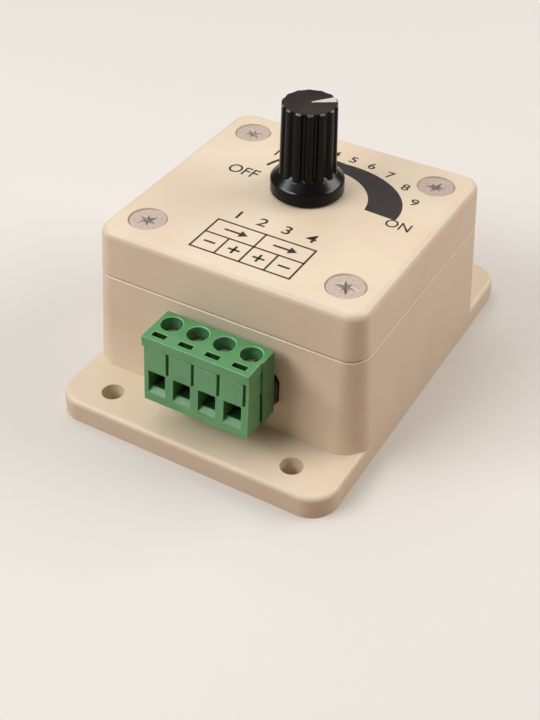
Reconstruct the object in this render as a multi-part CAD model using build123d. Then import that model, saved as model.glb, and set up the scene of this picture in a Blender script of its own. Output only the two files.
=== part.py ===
from build123d import *
import math
import os

os.makedirs("parts", exist_ok=True)

# Wall-mounted rotary lamp dimmer in a two-piece screwed box with mounting ears.
# Millimetres. +X runs along the terminal face, +Y from the terminal face to the rear,
# +Z up. The origin is the middle of the underside.

# Box, outside
base_width = 54.0
body_depth = 52.4
plate_length = 75.5
plate_thickness = 4.4
plate_corner_radius = 5.0
plate_edge_radius = 1.0
body_corner_radius = 5.0
seam_height = 23.2
cover_top = 32.2
cover_edge_radius = 1.5
wall_draft = 3.5
seam_gap = 0.2
seam_chamfer = 0.15

# Box, inside
wall_thickness = 2.2
floor_thickness = 2.4
roof_thickness = 2.2
rebate_width = 1.1
rebate_depth = 1.4
tongue_clearance = 0.1

# Mounting holes in the two ears
mount_hole_side_inset = 9.0
mount_hole_end_inset = 5.5
mount_hole_radius = 2.0

# Four screws that hold the cover down
cover_screw_inset_x = 8.0
cover_screw_inset_y = 8.55
boss_radius = 3.0
boss_step_radius = 4.8
rib_thickness = 1.2
screw_recess_radius = 3.45
screw_head_radius = 3.2
screw_head_rim = 0.4
screw_sink = 0.25
screw_shank_radius = 1.45
screw_length = 16.0
screw_clearance = 0.05
cover_hole_clearance = 0.2
cross_length = 3.2
cross_width = 0.6
cross_depth = 1.0

# Circuit board and its screws
board_edge_clearance = 0.5
board_thickness = 1.6
board_post_height = 5.5
board_post_radius = 2.6
board_post_inset = 3.5
board_notch_clearance = 0.4
board_screw_radius = 1.2
board_screw_length = 6.0
board_screw_head_radius = 2.3
board_screw_head_height = 1.4
board_hole_clearance = 0.15
driver_slot_width = 0.5
driver_slot_depth = 0.6

# Terminal plug, which stands out of the front wall
pole_count = 4
pole_pitch = 5.08
plug_center_x = 1.3
plug_side_step = 0.12
front_slant = 0.75
plug_rear_reach = 0.2
plug_lift = 0.15
plug_height = 13.05
plug_length = 7.9
cap_height = 1.95
cap_overhang = 0.4
panel_relief = 0.22
panel_edge_gap = 0.3
panel_narrowing = 0.2
panel_slot_width = 0.45
panel_slot_height = 4.55
panel_slot_depth = 0.6
panel_slot_side_inset = 0.75
panel_slot_frame_notch = 0.1
frame_height = 6.5
frame_depth = 3.7
frame_groove_width = 0.2
frame_groove_depth = 0.4
wire_opening_width = 3.3
wire_opening_height = 4.45
wire_opening_sill = 1.65
wire_opening_shift = -0.2
wire_sill_rise = 0.8
wire_sill_run = 1.0
wire_funnel_depth = 1.6
screw_row_inset = 2.7
access_hole_radius = 1.83
access_rim_chamfer = 0.2
test_slot_width = 2.6
test_slot_depth_y = 1.1
test_slot_drop = 3.0
test_slot_offset_y = 3.6
nose_length = 8.0
nose_wall = 0.8
flat_clearance = 0.15

# Clamp and contact of each pole
clamp_screw_head_radius = 1.7
clamp_screw_head_height = 1.5
clamp_screw_radius = 1.45
clamp_slot_width = 0.6
clamp_slot_depth = 0.7
thread_clearance = 0.05
cage_width = 3.8
cage_depth = 4.2
cage_wall = 0.4
cage_floor = 0.8
cage_nut_height = 1.3
cage_lift = 0.95
cage_travel = 2.2
bar_width = 2.6
bar_thickness = 0.8
bar_lift = 4.45
bar_inset = 1.9
contact_clearance = 0.05
socket_size = 2.4

# Header on the board, with the pins that the plug goes onto
header_stand_out = 0.7
header_length = 11.9
header_height = 6.6
header_side_margin = 0.14
header_wall = 0.8
header_back_wall = 2.0
header_corner_radius = 1.8
header_plug_gap = 0.3
cutout_clearance = 0.15
pin_size = 1.0
pin_tip_inset = 1.5
pin_bend_reach = 1.4
pin_solder_length = 1.4

# Rotary control under the knob
knob_x = -0.2
knob_y = 4.65
pointer_angle = 42.5
shaft_radius = 3.0
shaft_running_clearance = 0.05
shaft_in_knob = 12.8
shaft_flat_depth = 1.0
shaft_flat_length = 9.0
shaft_hole_clearance = 0.5
wafer_thickness = 1.6
wafer_tab_width = 13.0
wafer_tab_reach = 11.5
can_radius = 8.3
can_height = 7.5
can_wall = 0.5
bushing_wall = 0.5
bushing_roof_gap = 4.4
bushing_flange_radius = 5.0
bushing_flange_height = 0.8
rotor_radius = 6.6
rotor_height = 2.6
rotor_gap = 1.5
brush_length = 2.4
brush_width = 1.0
brush_radius = 5.4
brush_gap = 0.1
lug_pitch = 5.0
lug_width = 1.0
lug_thickness = 0.5

# Knob
knob_gap = 0.3
knob_height = 17.0
skirt_radius = 6.6
skirt_height = 2.45
skirt_edge_chamfer = 0.2
cone_height = 1.4
barrel_bottom_radius = 5.12
barrel_top_radius = 4.88
barrel_edge_chamfer = 0.3
flute_count = 14
flute_radius = 0.48
knob_bore_clearance = 0.05
knob_bore_end_gap = 0.3
knob_mouth_margin = 0.6
knob_mouth_depth = 1.5
pointer_depth = 0.3
pointer_start = 0.3
pointer_start_width = 0.3
pointer_end_width = 2.1

# Small electronic pieces on the board: size along X, along Y and height
transistor_size = (6.1, 6.5, 2.3)
transistor_tab_thickness = 0.5
transistor_tab_share = 0.8
transistor_tab_reach = 1.2
transistor_inset_x = 7.0
transistor_offset_y = 6.3
chip_size = (4.9, 3.9, 1.5)
chip_inset_x = 7.0
chip_offset_y = -6.5
chip_leg_pitch = 1.27
chip_leg_width = 0.4
chip_leg_thickness = 0.2
chip_leg_reach = 1.0
rear_row_inset = 3.2
regulator_size = (4.5, 2.5, 1.5)
regulator_x = -5.5
diode_size = (4.3, 2.6, 2.2)
diode_x = 5.5
capacitor_radius = 3.15
capacitor_height = 11.0
capacitor_inset_x = 5.0
capacitor_boss_gap = 1.5
capacitor_groove_height = 2.0
capacitor_groove_width = 0.6
capacitor_groove_depth = 0.25
resistor_size = (3.2, 1.6, 0.55)
ceramic_size = (3.2, 1.6, 1.2)
front_left_x = -12.5
front_right_x = 13.5
front_row_y = -11.0
second_row_y = -13.4

# Worked out from the sizes above
board_bottom = floor_thickness + board_post_height
board_top = board_bottom + board_thickness
header_top = board_top + header_height
header_front_y = -body_depth / 2 - header_stand_out
header_rear_y = header_front_y + header_length
plug_half_width = pole_count * pole_pitch / 2
header_half_width = plug_half_width + header_side_margin
pole_xs = [plug_center_x + (i - (pole_count - 1) / 2) * pole_pitch for i in range(pole_count)]
plug_bottom = board_top + plug_lift
plug_top = plug_bottom + plug_height
plug_rear_y = header_front_y - header_plug_gap
plug_front_y = plug_rear_y - plug_length
panel_y = plug_front_y + cap_overhang
frame_rear_y = panel_y + frame_depth
frame_top = plug_bottom + frame_height
cap_bottom = plug_top - cap_height
panel_left_x = plug_center_x - plug_half_width + plug_side_step
panel_right_x = plug_center_x + plug_half_width - plug_side_step
panel_slot_xs = [panel_right_x - panel_slot_side_inset - i * (pole_pitch - panel_narrowing)
                 for i in reversed(range(pole_count))]
mouth_xs = [plug_center_x + wire_opening_shift + (i - (pole_count - 1) / 2) * (pole_pitch - panel_narrowing)
            for i in range(pole_count)]
screw_row_y = plug_rear_y - screw_row_inset
wire_opening_bottom = plug_bottom + wire_opening_sill
wire_opening_top = wire_opening_bottom + wire_opening_height
nose_rear_y = plug_rear_y + nose_length
nose_bottom = board_top + header_wall + flat_clearance
nose_top = header_top - header_wall - flat_clearance
nose_half_width = header_half_width - header_wall - flat_clearance
pin_height = board_top + header_height / 2
pin_tip_y = header_front_y + pin_tip_inset
pin_bend_y = header_rear_y + pin_bend_reach
bar_bottom = plug_bottom + bar_lift
bar_top = bar_bottom + bar_thickness
bar_front_y = panel_y + bar_inset
cage_bottom = plug_bottom + cage_lift
cage_nut_bottom = bar_top + flat_clearance
cage_top = cage_nut_bottom + cage_nut_height
clamp_head_bottom = cage_top + cage_travel + flat_clearance
clamp_head_top = clamp_head_bottom + clamp_screw_head_height
knob_bottom = cover_top + knob_gap
knob_top = knob_bottom + knob_height
barrel_bottom = knob_bottom + skirt_height + cone_height
shaft_top = knob_bottom + shaft_in_knob
can_bottom = board_top + wafer_thickness
can_top = can_bottom + can_height
rotor_bottom = can_bottom + rotor_gap
bushing_radius = shaft_radius + bushing_wall
bushing_top = cover_top - roof_thickness - bushing_roof_gap


def lean(z):
    """How far the drafted walls stand in at a height, from the top of the ears up."""
    return (z - plate_thickness) * math.tan(math.radians(wall_draft))


def four_places(x, y):
    """One place in each quarter."""
    return [(sx * x, sy * y) for sx in (-1, 1) for sy in (-1, 1)]


board_half_width = base_width / 2 - lean(board_top) - wall_thickness - board_edge_clearance
board_half_depth = body_depth / 2 - lean(board_top) - wall_thickness - board_edge_clearance
cover_screw_places = four_places(base_width / 2 - cover_screw_inset_x, body_depth / 2 - cover_screw_inset_y)
mount_hole_places = four_places(base_width / 2 - mount_hole_side_inset,
                                plate_length / 2 - mount_hole_end_inset)
board_screw_places = [(side * (board_half_width - board_post_inset), 0) for side in (-1, 1)]


def block(x0, x1, y0, y1, z0, z1):
    """A box between two corners."""
    return Pos((x0 + x1) / 2, (y0 + y1) / 2, (z0 + z1) / 2) * Box(x1 - x0, y1 - y0, z1 - z0)


def rod(x, y, z0, z1, radius):
    """An upright cylinder."""
    return Pos(x, y, (z0 + z1) / 2) * Cylinder(radius, z1 - z0)


def drafted_block(z0, z1, inset):
    """The box's body between two heights, with its drafted sides moved in by inset."""
    step = lean(z0) + inset
    outline = RectangleRounded(base_width - 2 * step, body_depth - 2 * step, body_corner_radius - step)
    return extrude(Plane.XY.offset(z0) * outline, amount=z1 - z0, taper=wall_draft)


def terminal_cutout():
    """The rounded window in the front wall that the header shows through."""
    half = header_half_width + cutout_clearance
    low = board_top - cutout_clearance
    high = header_top + cutout_clearance
    outline = RectangleRounded(2 * half, high - low, header_corner_radius + cutout_clearance)
    face = Plane(origin=(plug_center_x, header_front_y, (low + high) / 2), x_dir=(1, 0, 0), z_dir=(0, 1, 0))
    return extrude(face * outline, amount=header_stand_out + wall_thickness + 2)


def corner_ribs(x, y):
    """Two webs that tie a corner boss to the walls beside it."""
    top = seam_height - rebate_depth - 0.4
    reach_x = base_width / 2 - lean(top) - wall_thickness / 2
    reach_y = body_depth / 2 - lean(top) - wall_thickness / 2
    half = rib_thickness / 2
    along_x = block(min(x, math.copysign(reach_x, x)), max(x, math.copysign(reach_x, x)),
                    y - half, y + half, floor_thickness, top)
    along_y = block(x - half, x + half, min(y, math.copysign(reach_y, y)),
                    max(y, math.copysign(reach_y, y)), floor_thickness, top)
    return along_x + along_y


def base_housing():
    """Lower shell: plate with two ears, drafted walls, corner bosses and board posts."""
    plate = extrude(RectangleRounded(base_width, plate_length, plate_corner_radius), plate_thickness)
    plate = fillet(plate.edges().group_by(Axis.Z)[-1], plate_edge_radius)
    foot = extrude(RectangleRounded(base_width, body_depth, body_corner_radius), plate_thickness)
    walls = drafted_block(plate_thickness, seam_height, 0)
    walls = chamfer(walls.edges().group_by(Axis.Z)[-1], seam_chamfer)
    shell = plate + foot + walls
    shell -= drafted_block(floor_thickness, seam_height, wall_thickness)
    shell -= drafted_block(seam_height - rebate_depth, seam_height, wall_thickness - rebate_width)
    for x, y in cover_screw_places:
        shell += rod(x, y, floor_thickness, seam_height, boss_radius) + corner_ribs(x, y)
        shell += rod(x, y, floor_thickness, board_bottom, boss_step_radius)
    for x, y in board_screw_places:
        shell += rod(x, y, floor_thickness, board_bottom, board_post_radius)
    head_seat = cover_top - screw_sink
    for x, y in cover_screw_places:
        shell -= rod(x, y, head_seat - screw_length - 1, seam_height, screw_shank_radius + screw_clearance)
    for x, y in board_screw_places:
        shell -= rod(x, y, floor_thickness + 0.8, board_bottom, board_screw_radius + screw_clearance)
    for x, y in mount_hole_places:
        shell -= rod(x, y, -1, plate_thickness + 1, mount_hole_radius)
    return shell - terminal_cutout()


def screw_seat(x, y):
    """The space a countersunk cover screw takes in the cover, with its clearances."""
    rim_bottom = cover_top - screw_sink - screw_head_rim
    cone = screw_head_radius - screw_shank_radius
    hole_radius = screw_shank_radius + cover_hole_clearance
    seat = rod(x, y, rim_bottom, cover_top + 1, screw_recess_radius)
    seat += Pos(x, y, rim_bottom - cone / 2) * Cone(screw_shank_radius + screw_clearance,
                                                    screw_head_radius + screw_clearance, cone)
    return seat + rod(x, y, seam_height - 1, rim_bottom, hole_radius)


def top_cover():
    """Upper shell: roof, drafted rim with a tongue, screw posts and the shaft hole."""
    shell = drafted_block(seam_height + seam_gap, cover_top, 0)
    shell = fillet(shell.edges().group_by(Axis.Z)[-1], cover_edge_radius)
    shell = chamfer(shell.edges().group_by(Axis.Z)[0], seam_chamfer)
    shell -= drafted_block(seam_height, cover_top - roof_thickness, wall_thickness)
    tongue_top = seam_height + seam_gap + 0.5
    tongue_bottom = seam_height - rebate_depth + tongue_clearance
    tongue = drafted_block(tongue_bottom, tongue_top, wall_thickness - rebate_width + tongue_clearance)
    shell += tongue - drafted_block(tongue_bottom, tongue_top, wall_thickness)
    for x, y in cover_screw_places:
        shell += rod(x, y, seam_height, cover_top - roof_thickness, boss_radius)
    for x, y in cover_screw_places:
        shell -= screw_seat(x, y)
    hole_radius = shaft_radius + shaft_hole_clearance
    return shell - rod(knob_x, knob_y, seam_height, cover_top + 1, hole_radius)


def cross_recess(x, y, top, turn):
    """A cross slot for a driver, with four short notches between its arms."""
    long_bar = Box(cross_length, cross_width, 2 * cross_depth)
    short_bar = Box(cross_length / 2, cross_width / 2, cross_depth)
    recess = Rot(0, 0, turn) * long_bar + Rot(0, 0, turn + 90) * long_bar
    recess += Rot(0, 0, turn + 45) * short_bar + Rot(0, 0, turn + 135) * short_bar
    return Pos(x, y, top) * recess


def cover_screws():
    """Four countersunk self-tapping screws."""
    top = cover_top - screw_sink
    cone = screw_head_radius - screw_shank_radius
    rim_bottom = top - screw_head_rim
    screws = []
    for i, (x, y) in enumerate(cover_screw_places):
        screw = rod(x, y, rim_bottom, top, screw_head_radius)
        screw += Pos(x, y, rim_bottom - cone / 2) * Cone(screw_shank_radius, screw_head_radius, cone)
        screw += rod(x, y, top - screw_length, rim_bottom - cone, screw_shank_radius)
        screws.append(screw - cross_recess(x, y, top, 20 + 35 * i))
    return Compound(screws)


def circuit_board():
    """Board with its corners cut away round the bosses and holes for all that goes through."""
    board = block(-board_half_width, board_half_width, -board_half_depth, board_half_depth,
                  board_bottom, board_top)
    notch = boss_radius + board_notch_clearance
    for x, y in cover_screw_places:
        outer_x = math.copysign(board_half_width + 1, x)
        outer_y = math.copysign(board_half_depth + 1, y)
        inner_x = x - math.copysign(notch, x)
        inner_y = y - math.copysign(notch, y)
        board -= block(min(inner_x, outer_x), max(inner_x, outer_x), min(inner_y, outer_y),
                       max(inner_y, outer_y), board_bottom - 1, board_top + 1)
    for x, y in board_screw_places:
        board -= rod(x, y, board_bottom - 1, board_top + 1, board_screw_radius + board_hole_clearance)
    return board - header_pins() - pot_lugs()


def board_screws():
    """Two small pan-head screws that hold the board on its posts."""
    screws = []
    for x, y in board_screw_places:
        screw = rod(x, y, board_top, board_top + board_screw_head_height, board_screw_head_radius)
        screw += rod(x, y, board_top - board_screw_length, board_top, board_screw_radius)
        slot_top = board_top + board_screw_head_height
        for turn in (0, 90):
            slot = Box(2 * board_screw_head_radius * 0.6, driver_slot_width, 2 * driver_slot_depth)
            screw -= Pos(x, y, slot_top) * Rot(0, 0, turn) * slot
        screws.append(screw)
    return Compound(screws)


def header_housing():
    """Black shroud on the board that the plug's nose goes into."""
    x0 = plug_center_x - header_half_width
    x1 = plug_center_x + header_half_width
    body = block(x0, x1, header_front_y, header_rear_y, board_top, header_top)
    body = fillet(body.edges().filter_by(Axis.Y), header_corner_radius)
    cavity = block(x0 + header_wall, x1 - header_wall, header_front_y - 1, header_rear_y - header_back_wall,
                   board_top + header_wall, header_top - header_wall)
    return body - cavity - header_pins()


def header_pins():
    """Four square pins, bent down into the board."""
    half = pin_size / 2
    pins = []
    for x in pole_xs:
        pin = block(x - half, x + half, pin_tip_y, pin_bend_y + half, pin_height - half, pin_height + half)
        pin += block(x - half, x + half, pin_bend_y - half, pin_bend_y + half,
                     board_bottom - pin_solder_length, pin_height + half)
        pins.append(pin)
    return Compound(pins)


def plug_pocket(x, mouth_x):
    """The room in the plug for one pole's cage, contact, clamp screw and wire."""
    half = cage_width / 2 + flat_clearance
    cage_front = screw_row_y - cage_depth / 2 - flat_clearance
    cage_rear = screw_row_y + cage_depth / 2 + flat_clearance
    room = block(x - half, x + half, cage_front, cage_rear, cage_bottom - flat_clearance, clamp_head_bottom)
    room += rod(x, screw_row_y, clamp_head_bottom, plug_top + 1, access_hole_radius)
    rim = Cone(access_hole_radius, access_hole_radius + access_rim_chamfer, access_rim_chamfer)
    room += Pos(x, screw_row_y, plug_top - access_rim_chamfer / 2) * rim
    slot_y = screw_row_y - test_slot_offset_y
    room += block(x - test_slot_width / 2, x + test_slot_width / 2, slot_y - test_slot_depth_y / 2,
                  slot_y + test_slot_depth_y / 2, plug_top - test_slot_drop, plug_top + 1)
    half = bar_width / 2
    room += block(x - half, x + half, bar_front_y, plug_rear_y, bar_bottom, bar_top)
    half = socket_size / 2
    room += block(x - half, x + half, cage_rear, nose_rear_y - nose_wall, pin_height - half, bar_top)
    half = pin_size / 2 + flat_clearance
    room += block(x - half, x + half, nose_rear_y - nose_wall - 1, nose_rear_y + 1, pin_height - half,
                  pin_height + half)
    return room + wire_mouth(mouth_x)


def front_line(z):
    """The plug's front leans out towards its foot; this is its place at a height."""
    return panel_y - front_slant * (cap_bottom - z) / (cap_bottom - plug_bottom)


def leaning_block(x0, x1, z0, z1, front, rear):
    """A block between two distances behind the leaning front."""
    side = Plane(origin=(x0, 0, 0), x_dir=(0, 1, 0), z_dir=(1, 0, 0))
    outline = Polygon((front_line(z0) + front, z0), (front_line(z0) + rear, z0),
                      (front_line(z1) + rear, z1), (front_line(z1) + front, z1), align=None)
    return extrude(side * outline, amount=x1 - x0)


def wire_mouth(x):
    """The square mouth that a wire goes in by, with a sloped sill and a roof that lead it in."""
    half = wire_opening_width / 2
    cage_front = screw_row_y - cage_depth / 2
    floor = wire_opening_bottom + wire_sill_rise
    side = Plane(origin=(x - half, 0, 0), x_dir=(0, 1, 0), z_dir=(1, 0, 0))
    foot = front_line(wire_opening_bottom)
    head = front_line(wire_opening_top)
    outline = Polygon((foot - 1, wire_opening_bottom), (foot, wire_opening_bottom),
                      (foot + wire_sill_run, floor), (cage_front, floor),
                      (cage_front, bar_bottom), (head + wire_funnel_depth, bar_bottom),
                      (head, wire_opening_top), (foot - 1, wire_opening_top), align=None)
    return extrude(side * outline, amount=2 * half)


def panel_slots():
    """The narrow upright slot at the right of each panel, which runs on a little into the frame."""
    half = panel_slot_width / 2
    slots = [leaning_block(x - half, x + half, frame_top - panel_slot_frame_notch,
                           frame_top + panel_slot_height, -1, panel_slot_depth)
             for x in panel_slot_xs]
    return Compound(slots)


def raised_panels():
    """The four slightly raised panels between the slots."""
    left = panel_left_x + panel_edge_gap
    panels = []
    for x in panel_slot_xs:
        panels.append(leaning_block(left, x, frame_top, cap_bottom - panel_edge_gap, -panel_relief,
                                    panel_relief))
        left = x + panel_slot_width / 2 + panel_relief
    return Compound(panels)


def plug_body():
    """Green plug: cap, panels, screw holes and the nose that enters the header."""
    x0 = plug_center_x - plug_half_width
    x1 = plug_center_x + plug_half_width
    cap = block(x0, x1, plug_front_y, frame_rear_y, cap_bottom, plug_top)
    front = leaning_block(panel_left_x, panel_right_x, frame_top, cap_bottom, 0, front_slant)
    front += block(panel_left_x, panel_right_x, panel_y, frame_rear_y, frame_top, cap_bottom)
    rear = block(x0, x1 + plug_rear_reach, frame_rear_y, plug_rear_y, plug_bottom, plug_top)
    nose = block(plug_center_x - nose_half_width, plug_center_x + nose_half_width, plug_rear_y,
                 nose_rear_y, nose_bottom, nose_top)
    body = cap + front + rear + nose + raised_panels() - panel_slots()
    for x, mouth_x in zip(pole_xs, mouth_xs):
        body -= plug_pocket(x, mouth_x)
    return body


def plug_front_frame():
    """Separate green frame round the wire mouths, snapped on from the front."""
    frame = block(panel_left_x, panel_right_x, panel_y, frame_rear_y, plug_bottom, frame_top)
    frame += leaning_block(panel_left_x, panel_right_x, plug_bottom, frame_top, 0, front_slant)
    frame -= panel_slots()
    groove_y = frame_rear_y - frame_groove_width
    frame -= block(panel_left_x - 1, panel_left_x + frame_groove_depth, groove_y, frame_rear_y + 1,
                   plug_bottom - 1, frame_top + 1)
    frame -= block(panel_right_x - frame_groove_depth, panel_right_x + 1, groove_y, frame_rear_y + 1,
                   plug_bottom - 1, frame_top + 1)
    for x, mouth_x in zip(pole_xs, mouth_xs):
        frame -= plug_pocket(x, mouth_x)
    return frame


def plug_contact(x):
    """One pole's metal: the clamp bar and the socket that grips a header pin."""
    half = bar_width / 2 - contact_clearance
    contact = block(x - half, x + half, bar_front_y, plug_rear_y, bar_bottom, bar_top)
    half = socket_size / 2 - contact_clearance
    front = screw_row_y + cage_depth / 2 + 2 * flat_clearance
    rear = nose_rear_y - nose_wall
    contact += block(x - half, x + half, front, rear, pin_height - half, bar_bottom + contact_clearance)
    half = pin_size / 2 + flat_clearance
    return contact - block(x - half, x + half, pin_tip_y - 1, rear + 1, pin_height - half, pin_height + half)


def plug_contacts():
    """The four contacts."""
    return Compound([plug_contact(x) for x in pole_xs])


def clamp_cage(x):
    """Rising nut of one pole: a ring that lifts the wire against the bar."""
    half_x = cage_width / 2
    half_y = cage_depth / 2
    cage = block(x - half_x, x + half_x, screw_row_y - half_y, screw_row_y + half_y, cage_bottom, cage_top)
    cage -= block(x - half_x + cage_wall, x + half_x - cage_wall, screw_row_y - half_y - 1,
                  screw_row_y + half_y + 1, cage_bottom + cage_floor, cage_nut_bottom)
    thread_radius = clamp_screw_radius + thread_clearance
    return cage - rod(x, screw_row_y, cage_nut_bottom - 1, cage_top + 1, thread_radius)


def clamp_screw(x):
    """Slotted screw that turns in place and drives the cage."""
    screw = rod(x, screw_row_y, clamp_head_bottom, clamp_head_top, clamp_screw_head_radius)
    screw += rod(x, screw_row_y, bar_top + thread_clearance, clamp_head_bottom, clamp_screw_radius)
    slot = Box(clamp_slot_width, 3 * clamp_screw_head_radius, 2 * clamp_slot_depth)
    return screw - Pos(x, screw_row_y, clamp_head_top) * slot


def pot_wafer():
    """Insulating disc with its terminal tab, which carries the resistance track."""
    wafer = rod(knob_x, knob_y, board_top, can_bottom, can_radius)
    wafer += block(knob_x - wafer_tab_width / 2, knob_x + wafer_tab_width / 2, knob_y - wafer_tab_reach,
                   knob_y, board_top, can_bottom)
    return wafer - pot_lugs()


def pot_lugs():
    """Three flat lugs that go down through the wafer's tab and the board."""
    lugs = []
    y = knob_y - wafer_tab_reach + 1.5
    for i in (-1, 0, 1):
        x = knob_x + i * lug_pitch
        lugs.append(block(x - lug_width / 2, x + lug_width / 2, y - lug_thickness / 2, y + lug_thickness / 2,
                          board_bottom - pin_solder_length, can_bottom + 0.4))
    return Compound(lugs)


def pot_can():
    """Round metal cover of the control."""
    can = rod(knob_x, knob_y, can_bottom, can_top, can_radius)
    can -= rod(knob_x, knob_y, can_bottom, can_top - can_wall, can_radius - can_wall)
    return can - rod(knob_x, knob_y, can_bottom, can_top + 1, bushing_radius)


def pot_bushing():
    """Bushing that the shaft turns in, held by its flange under the can's top."""
    flange_top = can_top - can_wall
    bushing = rod(knob_x, knob_y, flange_top - bushing_flange_height, flange_top, bushing_flange_radius)
    bushing += rod(knob_x, knob_y, flange_top, bushing_top, bushing_radius)
    return bushing - rod(knob_x, knob_y, can_bottom, cover_top, shaft_radius + shaft_running_clearance)


def shaft_solid(radius, top, bottom):
    """The shaft's round body with the flat that drives the knob."""
    body = rod(knob_x, knob_y, bottom, top, radius)
    flat_x = radius - shaft_flat_depth
    cut = block(flat_x, 2 * radius, -2 * radius, 2 * radius, shaft_top - shaft_flat_length, top + 1)
    return body - Pos(knob_x, knob_y, 0) * Rot(0, 0, pointer_angle + 180) * cut


def pot_shaft():
    """Six millimetre control shaft."""
    return shaft_solid(shaft_radius, shaft_top, rotor_bottom - 0.4)


def pot_rotor():
    """Rotor disc with its two contact brushes, fixed on the shaft."""
    rotor = rod(knob_x, knob_y, rotor_bottom, rotor_bottom + rotor_height, rotor_radius)
    for turn in (-12, 12):
        brush = block(brush_radius - brush_width / 2, brush_radius + brush_width / 2, -brush_length / 4,
                      brush_length / 4, can_bottom + brush_gap, rotor_bottom)
        rotor += Pos(knob_x, knob_y, 0) * Rot(0, 0, pointer_angle + turn) * brush
    return rotor - rod(knob_x, knob_y, can_bottom, can_top, shaft_radius)


def knob_blank():
    """The knob's outer form: skirt, cone and fluted barrel, without its bore."""
    profile = Polyline((0, knob_bottom), (skirt_radius - skirt_edge_chamfer, knob_bottom),
                       (skirt_radius, knob_bottom + skirt_edge_chamfer),
                       (skirt_radius, knob_bottom + skirt_height), (barrel_bottom_radius, barrel_bottom),
                       (barrel_top_radius, knob_top - barrel_edge_chamfer),
                       (barrel_top_radius - barrel_edge_chamfer, knob_top), (0, knob_top), close=True)
    blank = Pos(knob_x, knob_y, 0) * revolve(Plane.XZ * make_face(profile), Axis.Z)
    height = knob_top - barrel_bottom
    tilt = math.degrees(math.atan2(barrel_bottom_radius - barrel_top_radius, height))
    middle_radius = (barrel_bottom_radius + barrel_top_radius) / 2
    for i in range(flute_count):
        turn = pointer_angle + (i + 0.5) * 360 / flute_count
        flute = Pos(middle_radius, 0, (barrel_bottom + knob_top) / 2) * Rot(0, -tilt, 0) * Cylinder(
            flute_radius, height + 1.4)
        blank -= Pos(knob_x, knob_y, 0) * Rot(0, 0, turn) * flute
    return blank


def pointer_prism():
    """The wedge on the knob's top that the white pointer fills."""
    half0 = pointer_start_width / 2
    half1 = pointer_end_width / 2
    end = barrel_top_radius + 0.5
    outline = Polygon((pointer_start, -half0), (end, -half1), (end, half1), (pointer_start, half0),
                      align=None)
    prism = extrude(Plane.XY.offset(knob_top - pointer_depth) * outline, amount=pointer_depth + 1)
    return Pos(knob_x, knob_y, 0) * Rot(0, 0, pointer_angle) * prism


def knob():
    """Black fluted knob, pushed onto the shaft."""
    bore_top = shaft_top + knob_bore_end_gap
    bore = shaft_solid(shaft_radius + knob_bore_clearance, bore_top, knob_bottom - 1)
    mouth_radius = shaft_radius + knob_mouth_margin
    mouth = rod(knob_x, knob_y, knob_bottom - 1, knob_bottom + knob_mouth_depth, mouth_radius)
    return knob_blank() - bore - mouth - pointer_prism()


def knob_pointer():
    """White wedge let into the knob's top."""
    return knob_blank() & pointer_prism()


def board_part(size, place):
    """A plain moulded part that stands on the board."""
    return Pos(place[0], place[1], board_top + size[2] / 2) * Box(*size)


def transistor_places():
    """Where the two power transistors sit, one each side of the left board screw."""
    return [(transistor_inset_x - board_half_width, side * transistor_offset_y) for side in (-1, 1)]


def power_transistors():
    """Two moulded power transistors, each standing on its metal tab."""
    width = transistor_size[1] * transistor_tab_share
    room = (2 * transistor_size[0], width, transistor_tab_thickness)
    return Compound([board_part(transistor_size, place) - board_part(room, place)
                     for place in transistor_places()])


def transistor_tabs():
    """The two tabs under the power transistors, which carry the load current."""
    width = transistor_size[1] * transistor_tab_share
    size = (transistor_size[0] + transistor_tab_reach, width, transistor_tab_thickness)
    return Compound([board_part(size, (x - transistor_tab_reach / 2, y)) for x, y in transistor_places()])


def chip_place():
    """Where the control chip sits, in front of the right board screw."""
    return (board_half_width - chip_inset_x, chip_offset_y)


def control_chip_legs():
    """Eight bent legs, four on each long side of the chip."""
    legs = []
    center_x, center_y = chip_place()
    half = chip_leg_width / 2
    for side in (-1, 1):
        edge = center_y + side * chip_size[1] / 2
        outer = edge + side * chip_leg_reach
        riser_y = edge + side * chip_leg_thickness
        for i in range(4):
            x = center_x + (i - 1.5) * chip_leg_pitch
            foot = block(x - half, x + half, min(edge, outer), max(edge, outer), board_top,
                         board_top + chip_leg_thickness)
            riser = block(x - half, x + half, min(edge, riser_y), max(edge, riser_y), board_top,
                          board_top + chip_size[2] * 0.6)
            legs.append(foot + riser)
    return Compound(legs)


def filter_capacitor():
    """Upright electrolytic can with the pressed groove near its foot and a cross in its top."""
    x = board_half_width - capacitor_inset_x
    boss_y = cover_screw_places[-1][1]
    y = boss_y - boss_radius - capacitor_boss_gap - capacitor_radius
    top = board_top + capacitor_height
    can = rod(x, y, board_top, top, capacitor_radius)
    groove_z = board_top + capacitor_groove_height
    groove_top = groove_z + capacitor_groove_width
    can -= (rod(x, y, groove_z, groove_top, capacitor_radius + 1)
            - rod(x, y, groove_z, groove_top, capacitor_radius - capacitor_groove_depth))
    for turn in (0, 90):
        can -= Pos(x, y, top) * Rot(0, 0, turn) * Box(capacitor_radius * 1.2, 0.3, 0.4)
    return can


def ceramic_capacitors():
    """Two ceramic capacitors beside the header and one at the rear."""
    rear_y = board_half_depth - rear_row_inset
    places = ((front_left_x, second_row_y), (front_right_x, second_row_y), (0, rear_y))
    return Compound([board_part(ceramic_size, place) for place in places])


def chip_resistors():
    """Two small resistors in front of the control."""
    places = ((front_left_x, front_row_y), (front_right_x, front_row_y))
    return Compound([board_part(resistor_size, place) for place in places])


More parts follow.
